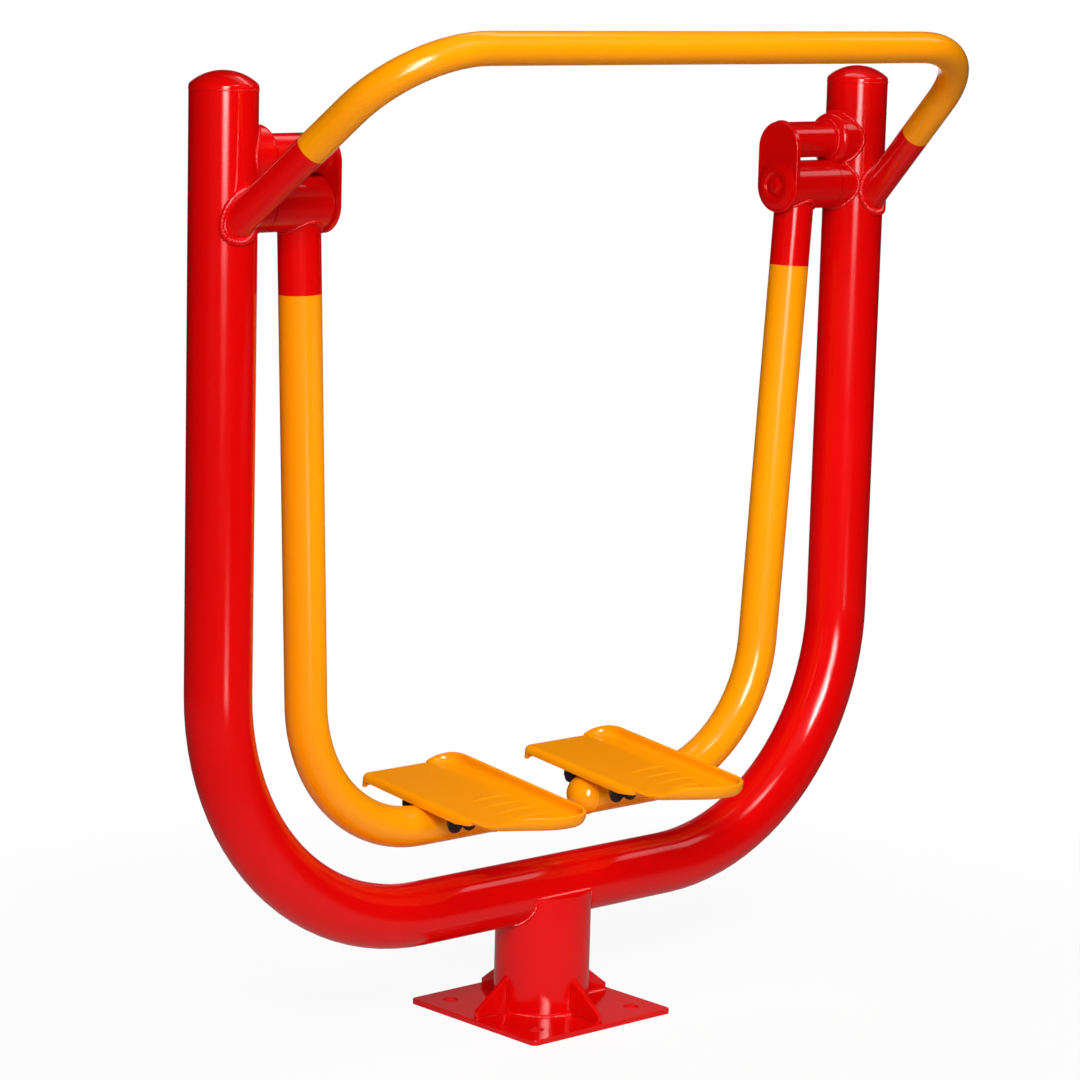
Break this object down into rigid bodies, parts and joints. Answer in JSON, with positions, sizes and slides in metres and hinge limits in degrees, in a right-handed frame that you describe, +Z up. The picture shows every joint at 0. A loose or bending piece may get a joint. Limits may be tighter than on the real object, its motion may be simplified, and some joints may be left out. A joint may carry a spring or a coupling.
{
  "type": "outdoor air walker",
  "caption": "Free-swinging air walker for a park: bent tube frame on a gusseted pedestal, overhead handlebar and hanging arms with footplates on sealed bearings.",
  "frame": {"origin": "middle of the base plate's underside, on the ground", "axes": "+X from the left post to the right post, -Y the way the user faces, towards the handlebar, +Z up"},
  "size_m": [1.352, 0.4786, 1.4952],
  "materials": {
    "red_paint": "gloss powder coat on steel",
    "yellow_paint": "gloss powder coat on steel; the handlebar's lower legs and the arms' upper ends are coated red",
    "shaft_steel": "zinc plated",
    "bearing_steel": "ground and polished",
    "spring_steel": "phosphated",
    "seal_rubber": "matte",
    "black_fastener": "black coated steel, satin"
  },
  "bodies": {
    "frame": {"base_plate": "red_paint", "gusset_left": "red_paint", "gusset_right": "red_paint", "gusset_front": "red_paint", "gusset_rear": "red_paint", "pedestal_tube": "red_paint", "pedestal_crescents": "red_paint", "main_frame_tube": "red_paint", "handlebar": "yellow_paint", "post_cap_left": "red_paint", "upper_bar_left": "red_paint", "bar_collar_left": "red_paint", "pivot_stub_left": "red_paint", "pivot_shaft_left": "shaft_steel", "link_plate_left": "red_paint", "pivot_cover_left": "red_paint", "cover_bolt_left": "red_paint", "inner_rings_left": "bearing_steel", "bearing_balls_left": "bearing_steel", "bearing_spacers_left": "shaft_steel", "post_cap_right": "red_paint", "upper_bar_right": "red_paint", "bar_collar_right": "red_paint", "pivot_stub_right": "red_paint", "pivot_shaft_right": "shaft_steel", "link_plate_right": "red_paint", "pivot_cover_right": "red_paint", "cover_bolt_right": "red_paint", "inner_rings_right": "bearing_steel", "bearing_balls_right": "bearing_steel", "bearing_spacers_right": "shaft_steel"},
    "left_arm": {"outer_rings_left": "bearing_steel", "bearing_seals_left": "seal_rubber", "arm_hub_left": "red_paint", "hub_circlips_left": "spring_steel", "arm_tube_left": "yellow_paint", "arm_cap_left": "yellow_paint", "pedal_brackets_left": "yellow_paint", "pedal_left": "yellow_paint", "pedal_studs_left": "shaft_steel", "pedal_washers_left": "black_fastener", "pedal_nuts_left": "black_fastener"},
    "right_arm": {"outer_rings_right": "bearing_steel", "bearing_seals_right": "seal_rubber", "arm_hub_right": "red_paint", "hub_circlips_right": "spring_steel", "arm_tube_right": "yellow_paint", "arm_cap_right": "yellow_paint", "pedal_brackets_right": "yellow_paint", "pedal_right": "yellow_paint", "pedal_studs_right": "shaft_steel", "pedal_washers_right": "black_fastener", "pedal_nuts_right": "black_fastener"}
  },
  "joints": [
    {"name": "left_arm_swing", "type": "hinge", "parent": "frame", "child": "left_arm", "pos_m": [-0.5125, 0, 1.247], "axis": [1, 0, 0], "range_deg": [-60, 60]},
    {"name": "right_arm_swing", "type": "hinge", "parent": "frame", "child": "right_arm", "pos_m": [0.5125, 0, 1.247], "axis": [1, 0, 0], "range_deg": [-60, 60]}
  ]
}
